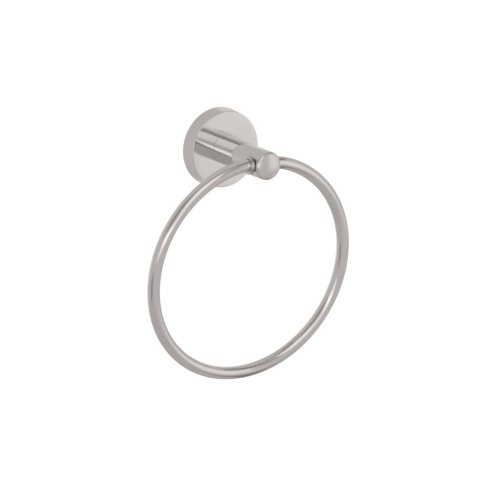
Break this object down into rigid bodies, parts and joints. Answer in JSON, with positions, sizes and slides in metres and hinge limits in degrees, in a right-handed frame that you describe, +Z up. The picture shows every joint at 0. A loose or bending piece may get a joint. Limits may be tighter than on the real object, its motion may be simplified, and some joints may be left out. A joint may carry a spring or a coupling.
{
  "type": "towel ring",
  "caption": "Wall-mounted bathroom towel ring: a round flange carries a straight post, and a polished round ring swings in two bushes near the post's crowned end.",
  "frame": {"origin": "on the wall plane, at the centre of the flange and of the two wall screws", "axes": "+Z up, +Y into the wall, so the post stands out along -Y; +X is to the right of someone facing the wall"},
  "size_m": [0.1584, 0.0651, 0.1787],
  "materials": {
    "bracket_steel": "zinc-plated, dull",
    "cover_chrome": "mirror polished",
    "screw_steel": "plain",
    "post_chrome": "mirror polished",
    "bush_chrome": "mirror polished",
    "ring_chrome": "mirror polished"
  },
  "bodies": {
    "mount": {"wall_bracket": "bracket_steel", "flange_cover": "cover_chrome", "cover_grub_screw": "screw_steel", "post": "post_chrome", "post_screw": "screw_steel", "lock_washer": "screw_steel", "left_bush": "bush_chrome", "right_bush": "bush_chrome"},
    "ring": {"ring": "ring_chrome"}
  },
  "joints": [
    {"name": "ring_swing", "type": "hinge", "parent": "mount", "child": "ring", "pos_m": [0, -0.056, 0], "axis": [-1, 0, 0], "range_deg": [-13, 207]}
  ]
}
